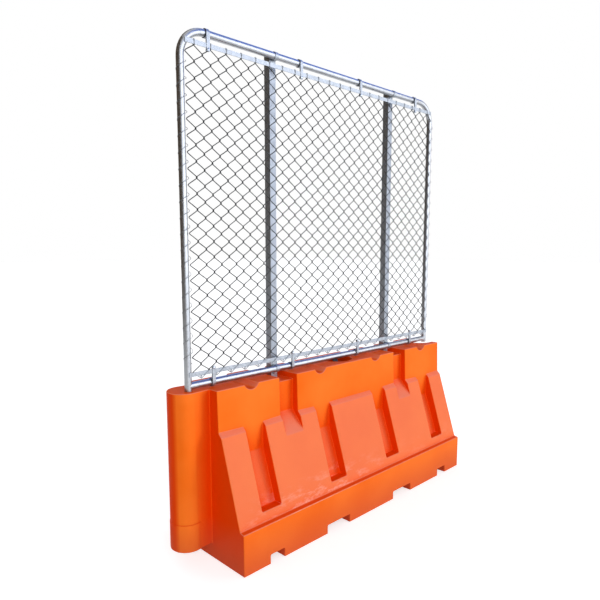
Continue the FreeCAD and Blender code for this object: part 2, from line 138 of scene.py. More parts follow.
moulded_poly, tree = blank_material("rotomoulded_polyethylene_orange")
place = add(tree, "ShaderNodeTexCoord").outputs["Object"]
spot = add(tree, "ShaderNodeSeparateXYZ", {"Vector": place}).outputs
patch = add(tree, "ShaderNodeTexNoise",
            {"Vector": place, "Scale": 1 / SUN_PATCH, "Detail": 3.0}).outputs["Fac"]
orange = add(tree, "ShaderNodeValToRGB", {"Fac": patch},
             [(0.35, linear(POLY_DEEP)), (0.65, linear(POLY_ORANGE))]).outputs["Color"]

# Painted shade: the colour goes deep red-orange in recesses found by occlusion, on both ends and on the
# flats.
open_air = add(tree, "ShaderNodeAmbientOcclusion", {"Distance": SHADE_OCCLUSION_REACH},
               samples=8, only_local=True).outputs["AO"]
in_the_open = add(tree, "ShaderNodeMapRange",
                  {"Value": open_air, "From Min": SHADE_OCCLUSION_FROM_TO[0],
                   "From Max": SHADE_OCCLUSION_FROM_TO[1]}).outputs[0]
normal = add(tree, "ShaderNodeNewGeometry").outputs["Normal"]
facing = add(tree, "ShaderNodeSeparateXYZ", {"Vector": normal}).outputs
facing_up = facing["Z"]
endwise = add(tree, "ShaderNodeMath", {0: facing["X"]}, operation="ABSOLUTE").outputs[0]
off_the_ends = add(tree, "ShaderNodeMapRange",
                   {"Value": endwise, "From Min": END_LEAN[0], "From Max": END_LEAN[1]}).outputs[0]
off_the_flats = add(tree, "ShaderNodeMapRange",
                    {"Value": facing_up, "From Min": FLAT_LEAN[0], "From Max": FLAT_LEAN[1],
                     "To Min": FLAT_UNSHADED_SHARE}).outputs[0]
off_ends_and_flats = add(tree, "ShaderNodeMath", {0: off_the_ends, 1: off_the_flats},
                   operation="MULTIPLY").outputs[0]
unshaded = add(tree, "ShaderNodeMath", {0: in_the_open, 1: off_ends_and_flats}, operation="MULTIPLY").outputs[0]
with_painted_shade = add(tree, "ShaderNodeMix", {0: unshaded, 6: linear(POLY_PAINTED_SHADE), 7: orange},
           data_type="RGBA").outputs[2]

# Painted sky sheen: upward slopes in the open turn paler and pinker, in place of the sky's reflection.
sky_sheen_share = add(tree, "ShaderNodeValToRGB", {"Fac": facing_up},
             [(lean, grey(share)) for lean, share in SKY_SHEEN_LEANS]).outputs["Color"]
sky_sheen_in_open = add(tree, "ShaderNodeMath", {0: sky_sheen_share, 1: unshaded}, operation="MULTIPLY").outputs[0]
with_sky_sheen = add(tree, "ShaderNodeMix", {0: sky_sheen_in_open, 6: with_painted_shade, 7: linear(POLY_SKY_SHEEN)},
               data_type="RGBA").outputs[2]

stretch = add(tree, "ShaderNodeMapping",
              {"Vector": place, "Scale": (1 / RUB_LENGTH, 1 / RUB_LENGTH, 1 / RUB_WIDTH)}).outputs[0]
smear = add(tree, "ShaderNodeTexNoise",
            {"Vector": stretch, "Scale": 1.0, "Detail": 6.0, "Roughness": 0.7}).outputs["Fac"]
smeared = add(tree, "ShaderNodeMapRange", {"Value": smear, "From Min": 0.5, "From Max": 0.75}).outputs[0]
low_down = add(tree, "ShaderNodeMapRange",
               {"Value": spot["Z"], "From Min": RUB_HEIGHTS[0], "From Max": RUB_HEIGHTS[1]}).outputs[0]
aside = add(tree, "ShaderNodeMath", {0: spot["X"], 1: RUB_MIDDLE}, operation="SUBTRACT").outputs[0]
far_aside = add(tree, "ShaderNodeMath", {0: aside}, operation="ABSOLUTE").outputs[0]
near_middle = add(tree, "ShaderNodeMapRange",
                  {"Value": far_aside, "From Min": RUB_SPREAD[0], "From Max": RUB_SPREAD[1],
                   "To Min": RUB_ELSEWHERE, "To Max": RUB_MOST}).outputs[0]
on_slope = add(tree, "ShaderNodeValToRGB", {"Fac": facing_up},
               [(lean, grey(share)) for lean, share in RUB_LEANS]).outputs["Color"]
slope_foot = add(tree, "ShaderNodeMath", {0: low_down, 1: near_middle}, operation="MULTIPLY").outputs[0]
rub_place = add(tree, "ShaderNodeMath", {0: slope_foot, 1: on_slope}, operation="MULTIPLY").outputs[0]
rub = add(tree, "ShaderNodeMath", {0: smeared, 1: rub_place}, operation="MULTIPLY").outputs[0]
rubbed = add(tree, "ShaderNodeMix", {0: rub, 6: with_sky_sheen, 7: linear(POLY_RUB)},
             data_type="RGBA").outputs[2]

# The barrier gets darker towards the bottom.
towards_bottom = add(tree, "ShaderNodeMapRange",
             {"Value": spot["Z"], "From Min": LOW_DARKER_HEIGHTS[0], "From Max": LOW_DARKER_HEIGHTS[1],
              "To Max": LOW_DARKER_MOST}).outputs[0]
darker_low = add(tree, "ShaderNodeMix", {0: towards_bottom, 6: rubbed, 7: linear(LOW_DARKER_ORANGE)},
            data_type="RGBA").outputs[2]
sheen = add(tree, "ShaderNodeMapRange",
            {"Value": patch, "From Min": 0.3, "From Max": 0.7, "To Min": 0.38, "To Max": 0.52}).outputs[0]
wave = add(tree, "ShaderNodeTexNoise",
           {"Vector": place, "Scale": 1 / WALL_WAVE, "Detail": 1.0}).outputs["Fac"]
peel = add(tree, "ShaderNodeTexNoise",
           {"Vector": place, "Scale": 1 / ORANGE_PEEL, "Detail": 2.0}).outputs["Fac"]
wavy = add(tree, "ShaderNodeBump", {"Height": wave, "Strength": 0.35, "Distance": 0.02}).outputs[0]
skin = add(tree, "ShaderNodeBump",
           {"Height": peel, "Strength": 0.12, "Distance": 0.002, "Normal": wavy}).outputs[0]
plastic = add(tree, "ShaderNodeBsdfPrincipled",
              {"Base Color": darker_low, "Roughness": sheen, "IOR": 1.51, "Specular IOR Level": 0.04,
               "Normal": skin}).outputs[0]
add(tree, "ShaderNodeOutputMaterial", {"Surface": plastic})

MOULD_ROUND = 0.006
ROUND_STEPS = 3
WELD_DISTANCE = 0.00002
FLAT_ANGLE = math.radians(0.8)
CREASE_ANGLE = math.radians(18)
ROUND_SHADE_ANGLE = math.radians(40)


def rounded_copy(name, node, radius, steps, keep_sharp):
    """A copy of a node's mesh with flat faces joined and creases rounded, but for those kept sharp."""
    work = bmesh.new()
    work.from_mesh(node.data)
    bmesh.ops.remove_doubles(work, verts=work.verts, dist=WELD_DISTANCE)
    bmesh.ops.dissolve_limit(work, angle_limit=FLAT_ANGLE, verts=work.verts, edges=work.edges)
    creases = [edge for edge in work.edges
               if edge.is_manifold and edge.calc_face_angle() > CREASE_ANGLE and not keep_sharp(edge)]
    bmesh.ops.bevel(work, geom=creases, offset=radius, offset_type="OFFSET", segments=steps, profile=0.5,
                    affect="EDGES", clamp_overlap=False, miter_outer="ARC")
    mesh = bpy.data.meshes.new(name)
    work.to_mesh(mesh)
    work.free()
    mesh.shade_smooth()
    mesh.set_sharp_from_angle(angle=ROUND_SHADE_ANGLE)
    piece = bpy.data.objects.new(name, mesh)
    bpy.context.scene.collection.objects.link(piece)
    piece.modifiers.new("even_shading", "WEIGHTED_NORMAL").keep_sharp = True
    return piece


barrier_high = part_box("barrier_shell")[1]
end_face_x = -barrier_high.x
COLLAR_HEIGHT = 0.262
COLLAR_BAND = 0.012
JUST_OFF = 0.001
LEAST_HOLLOW = 0.05


def inside_shell(edge):
    """Whether a crease is on the wall's inner side: from there it is a long way across the hollow."""
    middle = (edge.verts[0].co + edge.verts[1].co) / 2
    outward = sum((face.normal for face in edge.link_faces), Vector()).normalized()
    start = middle + outward * JUST_OFF
    reach = max(barrier_high.z, barrier_high.x)
    hit, point, face_normal, _ = nodes["barrier_shell"].ray_cast(start, outward, distance=reach)
    return hit and (point - start).length > LEAST_HOLLOW and face_normal.dot(outward) < 0


def too_fine_to_round(edge):
    """The collar's small step on the tongue, and all that lies out of sight inside the shell."""
    middle = (edge.verts[0].co + edge.verts[1].co) / 2
    if middle.x < end_face_x and abs(middle.z - COLLAR_HEIGHT) < COLLAR_BAND:
        return True
    return inside_shell(edge)


moulding = rounded_copy("barrier_moulding", nodes["barrier_shell"], MOULD_ROUND, ROUND_STEPS,
                        too_fine_to_round)
moulding.data.materials.clear()
moulding.data.materials.append(moulded_poly)
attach(moulding, "root")
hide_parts("barrier_shell")

# Filler cap: closes the well in the top through which the barrier is filled with water.
# Black polyethylene, injection moulded, with a bar grip across the lid and a plug that sits in the mouth.
# Injection-moulded polyethylene: black, satin, scuffed paler in patches, with a fine spark-eroded grain that
# is drawn coarser than it is.
CAP_BLACK = "#161616"
CAP_WORN = "#2B2A28"
CAP_ROUND = 0.004
CAP_GRAIN = 0.004
CAP_SCUFF = 0.04

moulded_cap, tree = blank_material("moulded_polyethylene_black")
place = add(tree, "ShaderNodeTexCoord").outputs["Object"]
grain = add(tree, "ShaderNodeTexNoise",
            {"Vector": place, "Scale": 1 / CAP_GRAIN, "Detail": 2.0}).outputs["Fac"]
scuff = add(tree, "ShaderNodeTexNoise",
            {"Vector": place, "Scale": 1 / CAP_SCUFF, "Detail": 5.0}).outputs["Fac"]
black = add(tree, "ShaderNodeValToRGB", {"Fac": scuff},
            [(0.45, linear(CAP_BLACK)), (0.7, linear(CAP_WORN))]).outputs["Color"]
eroded = add(tree, "ShaderNodeBump", {"Height": grain, "Strength": 0.2, "Distance": 0.001}).outputs[0]
plastic = add(tree, "ShaderNodeBsdfPrincipled",
              {"Base Color": black, "Roughness": 0.6, "IOR": 1.51, "Specular IOR Level": 0.15,
               "Normal": eroded}).outputs[0]
add(tree, "ShaderNodeOutputMaterial", {"Surface": plastic})

cap = rounded_copy("filler_cap_lid", nodes["filler_cap"], CAP_ROUND, ROUND_STEPS, lambda edge: False)
cap.data.materials.clear()
cap.data.materials.append(moulded_cap)
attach(cap, "root")
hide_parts("filler_cap")


# Posts, hoop and bottom rail: the frame that carries the mesh.
# Steel tube, square for the posts and round for the rest, hot-dip galvanised after bending and welding.
# Hot-dip zinc: grey, half dull, with crystals of zinc about a centimetre across that each take the light a
# little differently, and thin runs where the zinc drained.
ZINC_LIGHT = "#B2B5B9"
ZINC_DARK = "#A5A8AC"
ZINC_RUN = "#8C8E92"
POST_LIGHT = "#A4AAB2"
POST_DARK = "#979DA5"
SPANGLE = 0.014
RUN_LENGTH = 0.35
RUN_WIDTH = 0.02
RUN_MOST = 0.35


def hot_dip_zinc(name, light, dark, metal, dullness):
    """Galvanised steel with crystals and drain runs, between two greys and two roughnesses."""
    material, tree = blank_material(name)
    place = add(tree, "ShaderNodeTexCoord").outputs["Object"]
    crystal = add(tree, "ShaderNodeTexVoronoi", {"Vector": place, "Scale": 1 / SPANGLE}).outputs["Color"]
    tint = add(tree, "ShaderNodeSeparateColor", {"Color": crystal}).outputs[0]
    zinc = add(tree, "ShaderNodeValToRGB", {"Fac": tint},
               [(0.0, linear(dark)), (1.0, linear(light))]).outputs["Color"]
    along = add(tree, "ShaderNodeMapping",
                {"Vector": place, "Scale": (1 / RUN_WIDTH, 1 / RUN_WIDTH, 1 / RUN_LENGTH)}).outputs[0]
    run = add(tree, "ShaderNodeTexNoise", {"Vector": along, "Scale": 1.0, "Detail": 4.0}).outputs["Fac"]
    run_on = add(tree, "ShaderNodeMapRange",
                 {"Value": run, "From Min": 0.52, "From Max": 0.72, "To Max": RUN_MOST}).outputs[0]
    colour = add(tree, "ShaderNodeMix", {0: run_on, 6: zinc, 7: linear(ZINC_RUN)},
                 data_type="RGBA").outputs[2]
    dull = add(tree, "ShaderNodeMapRange",
               {"Value": tint, "To Min": dullness[0], "To Max": dullness[1]}).outputs[0]
    steel = add(tree, "ShaderNodeBsdfPrincipled",
                {"Base Color": colour, "Metallic": metal, "Roughness": dull}).outputs[0]
    add(tree, "ShaderNodeOutputMaterial", {"Surface": steel})
    return material


galvanised_tube = hot_dip_zinc("hot_dip_galvanised_tube", ZINC_LIGHT, ZINC_DARK, 0.95, (0.29, 0.35))
galvanised_post = hot_dip_zinc("hot_dip_galvanised_post", POST_LIGHT, POST_DARK, 0.9, (0.42, 0.55))
POST_CORNER = 0.003
for name, finish in (("fence_hoop", galvanised_tube), ("bottom_rail", galvanised_tube),
                     ("left_post", galvanised_post), ("right_post", galvanised_post)):
    nodes[name].data.materials.clear()
    nodes[name].data.materials.append(finish)
for name in ("left_post", "right_post"):
    corner = nodes[name].modifiers.new("rolled_corner", "BEVEL")
    corner.width = POST_CORNER
    corner.segments = ROUND_STEPS
    corner.limit_method = "ANGLE"

# Clamps and bands: the clamps tie both rails to the posts, and the bands tie the tension bars to the rails.
# Steel strip, pressed round the tube, galvanised and held by bolts.
# Galvanised strip: bent cold, so it is plainer and brighter than the tube.
STRIP_LIGHT = "#AEB4BB"
STRIP_DARK = "#959BA1"
galvanised_strip = hot_dip_zinc("galvanised_strip", STRIP_LIGHT, STRIP_DARK, 0.85, (0.38, 0.5))
BAND_NUMBERS = range(1, 5)
STRAP_NODES = [f"{rail}_clamp_{side}" for rail in ("top", "bottom") for side in ("left", "right")]
STRAP_NODES += [f"{rail}_band_{number}" for rail in ("top", "bottom") for number in BAND_NUMBERS]
for name in STRAP_NODES:
    nodes[name].data.materials.clear()
    nodes[name].data.materials.append(galvanised_strip)

# Bolts of the clamps: hexagon heads on washers, through the clamps' tabs into the posts, from the front.
# Steel, cold headed, zinc plated and then tumbled bright.
# Zinc plate: smooth and pale with a faint blue passivation that varies over each head.
PLATE_PALE = "#C9CFD6"
PLATE_BLUE = "#98A2AF"
PLATE_HAZE = 0.00625
zinc_plate, tree = blank_material("bright_zinc_plate")
place = add(tree, "ShaderNodeTexCoord").outputs["Object"]
haze = add(tree, "ShaderNodeTexNoise",
           {"Vector": place, "Scale": 1 / PLATE_HAZE, "Detail": 2.0}).outputs["Fac"]
plated = add(tree, "ShaderNodeValToRGB", {"Fac": haze},
             [(0.35, linear(PLATE_BLUE)), (0.65, linear(PLATE_PALE))]).outputs["Color"]
steel = add(tree, "ShaderNodeBsdfPrincipled",
            {"Base Color": plated, "Metallic": 0.85, "Roughness": 0.3}).outputs[0]
add(tree, "ShaderNodeOutputMaterial", {"Surface": steel})


def join_rings(faces, first, rings, sides):
    """Faces between rings of vertices that follow each other, with both ends closed."""
    for ring in range(rings - 1):
        for side in range(sides):
            a = first + ring * sides + side
            b = first + ring * sides + (side + 1) % sides
            faces.append((a, b, b + sides, a + sides))
    faces.append(tuple(range(first, first + sides))[::-1])
    last = first + (rings - 1) * sides
    faces.append(tuple(range(last, last + sides)))


def lathe_along_y(verts, faces, x, z, rings, sides):
    """A turned form: rings of (y, radius) about an axis along Y."""
    first = len(verts)
    for y, radius in rings:
        for side in range(sides):
            angle = 2 * math.pi * side / sides
            verts.append((x + radius * math.cos(angle), y, z + radius * math.sin(angle)))
    join_rings(faces, first, len(rings), sides)


def mesh_piece(name, verts, faces, material, smooth_angle):
    """A mesh object of the part, shaded smooth up to an angle, riding on the one body."""
    mesh = bpy.data.meshes.new(name)
    mesh.from_pydata(verts, [], faces)
    mesh.validate()
    work = bmesh.new()
    work.from_mesh(mesh)
    bmesh.ops.recalc_face_normals(work, faces=work.faces)
    work.to_mesh(mesh)
    work.free()
    mesh.shade_smooth()
    mesh.set_sharp_from_angle(angle=smooth_angle)
    mesh.materials.append(material)
    piece = bpy.data.objects.new(name, mesh)
    bpy.context.scene.collection.objects.link(piece)
    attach(piece, "root")
    return piece


HEX_SIDES = 6
ROUND_SIDES = 20
HEAD_RADIUS = 0.0085
HEAD_HEIGHT = 0.0055
HEAD_CHAMFER = 0.001
HEAD_FACE = 0.86
WASHER_RADIUS = 0.0105
WASHER_THICKNESS = 0.0016
CLAMP_THICKNESS = 0.003
LONG_TAB_INSET = 0.016
SHORT_TAB_INSET = 0.008
BOLT_SHADE_ANGLE = math.radians(30)

verts, faces = [], []
for side in ("left", "right"):
    top_low, top_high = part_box(f"top_clamp_{side}")
    bottom_low, bottom_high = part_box(f"bottom_clamp_{side}")
    for low, high, z in ((top_low, top_high, top_low.z + LONG_TAB_INSET),
                         (bottom_low, bottom_high, bottom_low.z + SHORT_TAB_INSET),
                         (bottom_low, bottom_high, bottom_high.z - LONG_TAB_INSET)):
        x = (low.x + high.x) / 2
        tab_front = high.y - CLAMP_THICKNESS
        washer = tab_front - WASHER_THICKNESS
        head = washer - HEAD_HEIGHT
        lathe_along_y(verts, faces, x, z, [(washer, WASHER_RADIUS), (tab_front, WASHER_RADIUS)], ROUND_SIDES)
        lathe_along_y(verts, faces, x, z,
                      [(head, HEAD_RADIUS * HEAD_FACE), (head + HEAD_CHAMFER, HEAD_RADIUS),
                       (washer, HEAD_RADIUS)], HEX_SIDES)
mesh_piece("clamp_bolts", verts, faces, zinc_plate, BOLT_SHADE_ANGLE)

# Tension bars: flat bars threaded through the mesh's end loops, and pulled towards the rails by the bands.
# Steel, rolled flat, so the edges are a little round and the faces plain, and galvanised like the straps.
BAR_EDGE = 0.001
BAR_EDGE_STEPS = 2
for name in ("top_tension_bar", "bottom_tension_bar"):
    bar = nodes[name]
    bar.data.materials.clear()
    bar.data.materials.append(galvanised_strip)
    rolled = bar.modifiers.new("rolled_edge", "BEVEL")
    rolled.width = BAR_EDGE
    rolled.segments = BAR_EDGE_STEPS

# Bolts of the tension bands: carriage bolts just past the bar, dome to the front and nut behind.
# Zinc-plated steel, drawn tight so that the band's legs grip the bar.
DOME_RADIUS = 0.0095
DOME_HEIGHT = 0.0045
DOME_STEPS = 5
DOME_TIP = 0.05
BOLT_RADIUS = 0.004
NUT_HEIGHT = 0.0065
THREAD_END = 0.006
BAND_BOLT_INSET = 0.009
dome_angles = [math.pi / 2 * step / DOME_STEPS for step in range(DOME_STEPS, -1, -1)]
verts, faces = [], []
for rail in ("top", "bottom"):
    bar_low, bar_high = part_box(f"{rail}_tension_bar")
    for number in BAND_NUMBERS:
        low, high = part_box(f"{rail}_band_{number}")
        x = (low.x + high.x) / 2
        z = low.z + BAND_BOLT_INSET if rail == "top" else high.z - BAND_BOLT_INSET
        front = low.y
        back = bar_high.y + (bar_low.y - front)
        nut_back = back + NUT_HEIGHT
        dome = [(front - DOME_HEIGHT * math.sin(angle), DOME_RADIUS * max(math.cos(angle), DOME_TIP))
                for angle in dome_angles]
        lathe_along_y(verts, faces, x, z, dome, ROUND_SIDES)
        lathe_along_y(verts, faces, x, z,
                      [(front, BOLT_RADIUS), (nut_back + THREAD_END, BOLT_RADIUS)], ROUND_SIDES)
        lathe_along_y(verts, faces, x, z, [(back, HEAD_RADIUS), (nut_back, HEAD_RADIUS)], HEX_SIDES)
mesh_piece("band_bolts", verts, faces, zinc_plate, BOLT_SHADE_ANGLE)


# Chain-link mesh: round wires bent to flat upright zigzags, each hooked into its neighbours at every turn.
# Steel wire of about 4 mm, drawn a millimetre thicker so that it looks as heavy as in the photograph, with
# its ends bent over the tension bars at the top and the bottom.
# Galvanised wire: dull dark grey zinc with paler spots, and a painted highlight where it passes the bars.
WIRE_GREY = "#242525"
WIRE_PALE = "#3C3E3E"
WIRE_PAINTED_HIGHLIGHT = "#B4BAC1"
WIRE_SPOT = 0.016667
WIRE_RADIUS = 0.0027
WIRE_SIDES = 6
WIRE_SHADE_ANGLE = math.radians(80)

top_bar_low, top_bar_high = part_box("top_tension_bar")
bottom_bar_low, bottom_bar_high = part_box("bottom_tension_bar")
galvanised_wire, tree = blank_material("galvanised_wire")
place = add(tree, "ShaderNodeTexCoord").outputs["Object"]
mottle = add(tree, "ShaderNodeTexNoise",
             {"Vector": place, "Scale": 1 / WIRE_SPOT, "Detail": 4.0}).outputs["Fac"]
wire_tone = add(tree, "ShaderNodeValToRGB", {"Fac": mottle},
                [(0.4, linear(WIRE_GREY)), (0.75, linear(WIRE_PALE))]).outputs["Color"]
# Painted highlight: the wires turn pale where they pass the tension bars.
height = add(tree, "ShaderNodeSeparateXYZ", {"Vector": place}).outputs["Z"]
on_top_bar = add(tree, "ShaderNodeMath", {0: height, 1: top_bar_low.z}, operation="GREATER_THAN").outputs[0]
on_low_bar = add(tree, "ShaderNodeMath", {0: height, 1: bottom_bar_high.z}, operation="LESS_THAN").outputs[0]
on_bars = add(tree, "ShaderNodeMath", {0: on_top_bar, 1: on_low_bar}, operation="MAXIMUM").outputs[0]
wire_with_painted_highlight = add(tree, "ShaderNodeMix", {0: on_bars, 6: wire_tone, 7: linear(WIRE_PAINTED_HIGHLIGHT)},
                  data_type="RGBA").outputs[2]
steel = add(tree, "ShaderNodeBsdfPrincipled",
            {"Base Color": wire_with_painted_highlight, "Metallic": 0.3, "Roughness": 0.55}).outputs[0]
add(tree, "ShaderNodeOutputMaterial", {"Surface": steel})


def sweep(verts, faces, path, radius, sides):
    """A round wire along a path of points, closed at both ends."""
    first = len(verts)
    across = Vector((0, 1, 0))
    for i, point in enumerate(path):
        along = (path[min(i + 1, len(path) - 1)] - path[max(i - 1, 0)]).normalized()
        across = (across - along * across.dot(along)).normalized()
        other = along.cross(across)
        for side in range(sides):
            angle = 2 * math.pi * side / sides
            verts.append(point + (across * math.cos(angle) + other * math.sin(angle)) * radius)
    join_rings(faces, first, len(path), sides)


MESH_COLUMNS = 22
MESH_ROW = 0.087
MESH_FIRST_ROW = 1.153
TURNS = 43
WIRE_GAP = 0.0024
HOOK_HALF = 0.0034
HOOK_REACH = 0.0024
# Points of a hook, as shares of its half height, its reach and the wire's depth
HOOK_POINTS = ((-1.2, 0.2, -1), (-0.5, 1, -0.75), (0.5, 1, 0.75), (1.2, 0.2, 1))
BAR_CLEAR = 0.004
BENT_END = 0.9

mesh_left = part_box("mesh_left")
mesh_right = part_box("mesh_right")
mesh_y = (mesh_left[0].y + mesh_left[1].y) / 2
half_column = (mesh_right[1].x - mesh_left[0].x) / MESH_COLUMNS / 2
half_row = MESH_ROW / 2
low_row = MESH_FIRST_ROW - half_row
round_bar = (top_bar_high.y - top_bar_low.y) / 2 + WIRE_RADIUS


def beside_bar(z):
    """Whether a point of the mesh passes a tension bar, in front of it or behind it."""
    return z < bottom_bar_high.z + BAR_CLEAR or z > top_bar_low.z - BAR_CLEAR


def picket_path(number):
    """One upright zigzag wire: in front on its way to the right, behind on its way to the left."""
    path = []
    for turn in range(TURNS):
        z = low_row + turn * half_row
        to_right = (turn + number) % 2 == 0
        side = 1 if to_right else -1
        x = mesh_left[0].x + (number + (1 if to_right else 0)) * half_column
        for up, out, depth in HOOK_POINTS:
            height = z + up * HOOK_HALF
            reach = round_bar if beside_bar(height) else WIRE_GAP
            path.append(Vector((x + side * out * HOOK_REACH, mesh_y + side * depth * reach, height)))
    first = path[2]
    away = 1 if first.y < mesh_y else -1
    foot = bottom_bar_low.z - WIRE_RADIUS
    path[:2] = [Vector((first.x, mesh_y + away * round_bar * BENT_END, foot + WIRE_RADIUS * 2)),
                Vector((first.x, mesh_y, foot))]
    last = path[-3]
    away = 1 if last.y < mesh_y else -1
    head = top_bar_high.z + WIRE_RADIUS
    path[-2:] = [Vector((last.x, mesh_y - away * round_bar, head - WIRE_RADIUS)),
                 Vector((last.x, mesh_y, head)),
                 Vector((last.x, mesh_y + away * round_bar * BENT_END, head - WIRE_RADIUS * 2))]
    return path


verts, faces = [], []
for number in range(2 * MESH_COLUMNS):
    sweep(verts, faces, picket_path(number), WIRE_RADIUS, WIRE_SIDES)
woven = mesh_piece("chain_link_wires", verts, faces, galvanised_wire, WIRE_SHADE_ANGLE)
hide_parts("mesh_left", "mesh_middle", "mesh_right")

# Lacing wires: one long wire down each upright, wound round the tube and through the mesh's edge.
# Steel wire, thinner than the mesh and soft enough to wind by hand.
# Soft galvanised wire: still bright, with darker spots where the zinc has dulled.
LACE_LIGHT = "#9DA0A3"
LACE_DARK = "#6E7072"
LACE_RADIUS = 0.0014
LACE_TURN_RADIUS = 0.0268
LACE_SHIFT = 0.0036
LACE_STEPS = 20
LACE_TURNS = 19
TUBE_RADIUS = 0.021
hoop_low, hoop_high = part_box("fence_hoop")
soft_wire, tree = blank_material("soft_galvanised_wire")
place = add(tree, "ShaderNodeTexCoord").outputs["Object"]
mottle = add(tree, "ShaderNodeTexNoise",
             {"Vector": place, "Scale": 1 / WIRE_SPOT, "Detail": 4.0}).outputs["Fac"]
lace_tone = add(tree, "ShaderNodeValToRGB", {"Fac": mottle},
                [(0.4, linear(LACE_DARK)), (0.7, linear(LACE_LIGHT))]).outputs["Color"]
steel = add(tree, "ShaderNodeBsdfPrincipled",
            {"Base Color": lace_tone, "Metallic": 0.6, "Roughness": 0.5}).outputs[0]
add(tree, "ShaderNodeOutputMaterial", {"Surface": steel})

verts, faces = [], []
lace_foot = MESH_FIRST_ROW + half_row
lace_y = (hoop_low.y + hoop_high.y) / 2 - LACE_SHIFT
for upright_x, side in ((hoop_low.x + TUBE_RADIUS, 1), (hoop_high.x - TUBE_RADIUS, -1)):
    lace_x = upright_x + side * LACE_SHIFT
    path = []
    for step in range(LACE_TURNS * LACE_STEPS + 1):
        angle = 2 * math.pi * step / LACE_STEPS
        path.append(Vector((lace_x + LACE_TURN_RADIUS * math.cos(angle),
                            lace_y + LACE_TURN_RADIUS * math.sin(angle),
                            lace_foot + MESH_ROW * step / LACE_STEPS)))
    sweep(verts, faces, path, LACE_RADIUS, WIRE_SIDES)
mesh_piece("lacing_wires", verts, faces, soft_wire, WIRE_SHADE_ANGLE)

# Floor: a broad screed that the barrier stands on, painted white and matt.
# Matt floor paint: takes the object's shadow, shows faint sweeps of the trowel, and to the eye and in
# reflections it is lifted to the white of the background.
FLOOR_WHITE = "#DCDCDC"
FLOOR_TROWELLED = "#D8D8D8"
FLOOR_LIFT = 0.64
FLOOR_HALF = 60.0
TROWEL_SWEEP = 0.3333


def seen_directly(tree):
    """One where a ray comes from the camera, a reflection or glass, and nought where it brings light."""
    ray = add(tree, "ShaderNodeLightPath").outputs
    mirrored = add(tree, "ShaderNodeMath", {0: ray["Is Glossy Ray"], 1: ray["Is Transmission Ray"]},
                   operation="MAXIMUM").outputs[0]
    return add(tree, "ShaderNodeMath", {0: ray["Is Camera Ray"], 1: mirrored},
               operation="MAXIMUM").outputs[0]


floor_paint, tree = blank_material("matt_floor_paint")
place = add(tree, "ShaderNodeTexCoord").outputs["Object"]
trowel = add(tree, "ShaderNodeTexNoise",
             {"Vector": place, "Scale": 1 / TROWEL_SWEEP, "Detail": 2.0}).outputs["Fac"]
pale = add(tree, "ShaderNodeValToRGB", {"Fac": trowel},
           [(0.3, linear(FLOOR_TROWELLED)), (0.7, linear(FLOOR_WHITE))]).outputs["Color"]
paint = add(tree, "ShaderNodeBsdfDiffuse", {"Color": pale}).outputs[0]
lift = add(tree, "ShaderNodeMath", {0: seen_directly(tree), 1: FLOOR_LIFT}, operation="MULTIPLY").outputs[0]
glow = add(tree, "ShaderNodeEmission", {"Color": grey(1.0), "Strength": lift}).outputs[0]
lifted = add(tree, "ShaderNodeAddShader", {0: paint, 1: glow}).outputs[0]
add(tree, "ShaderNodeOutputMaterial", {"Surface": lifted})


def stage_sheet(name, corners, material):
    """A flat sheet of the studio, which isn't part of the object."""
    mesh = bpy.data.meshes.new(name)
    mesh.from_pydata(corners, [], [tuple(range(len(corners)))])
    mesh.materials.append(material)
    sheet = bpy.data.objects.new(name, mesh)
    bpy.context.scene.collection.objects.link(sheet)
    sheet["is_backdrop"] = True
    return sheet


stage_sheet("studio_floor", [(-FLOOR_HALF, -FLOOR_HALF, 0), (FLOOR_HALF, -FLOOR_HALF, 0),
                             (FLOOR_HALF, FLOOR_HALF, 0), (-FLOOR_HALF, FLOOR_HALF, 0)], floor_paint)

# Cards round the object, which show only in reflections: a white one in front for the metal's highlights,
# blue sheets high on the right for its top edges, and brown cloth behind and on the left for its dark side.
# Cloth stretched on upright frames, side by side on a circle.
# Brown cloth: matt and dark, with a short nap. The white and blue sheets are thin and glow evenly.
CLOTH_DARK = "#55442F"
CLOTH_LIGHT = "#665239"
CLOTH_NAP = 0.05
WHITE_SHEET = "#F4F7FF"
WHITE_GLOW = 3.2
BLUE_SHEET = "#6A90F2"
BLUE_GLOW = 1.25
CARD_DISTANCE = 9.0
CARD_STEP = math.radians(26)
WHITE_TOP = 8.0
HIGH_TOP = 22.0

brown_cloth, tree = blank_material("brown_cloth")
place = add(tree, "ShaderNodeTexCoord").outputs["Object"]
nap = add(tree, "ShaderNodeTexNoise",
          {"Vector": place, "Scale": 1 / CLOTH_NAP, "Detail": 3.0}).outputs["Fac"]
dye = add(tree, "ShaderNodeValToRGB", {"Fac": nap},
          [(0.3, linear(CLOTH_DARK)), (0.7, linear(CLOTH_LIGHT))]).outputs["Color"]
cloth = add(tree, "ShaderNodeBsdfPrincipled",
            {"Base Color": dye, "Roughness": 0.95, "Specular IOR Level": 0.1}).outputs[0]
add(tree, "ShaderNodeOutputMaterial", {"Surface": cloth})


def glowing_card(name, colour, strength):
    """A sheet that glows evenly, a light card that no lamp lights."""
    material, tree = blank_material(name)
    glow = add(tree, "ShaderNodeEmission", {"Color": linear(colour), "Strength": strength}).outputs[0]
    add(tree, "ShaderNodeOutputMaterial", {"Surface": glow})
    return material


def card_ring(name, material, from_degrees, count, foot, top):
    """Upright cards side by side on a circle round the object, from an angle off the right-hand side."""
    for number in range(count):
        ends = [math.radians(from_degrees) + CARD_STEP * (number + side) for side in (0, 1)]
        near, far = [(CARD_DISTANCE * math.cos(angle), CARD_DISTANCE * math.sin(angle)) for angle in ends]
        corners = [(*near, foot), (*far, foot), (*far, top), (*near, top)]
        card = stage_sheet(f"{name}_{number + 1}", corners, material)
        card.visible_camera = False
        card.visible_diffuse = False
        card.visible_shadow = False


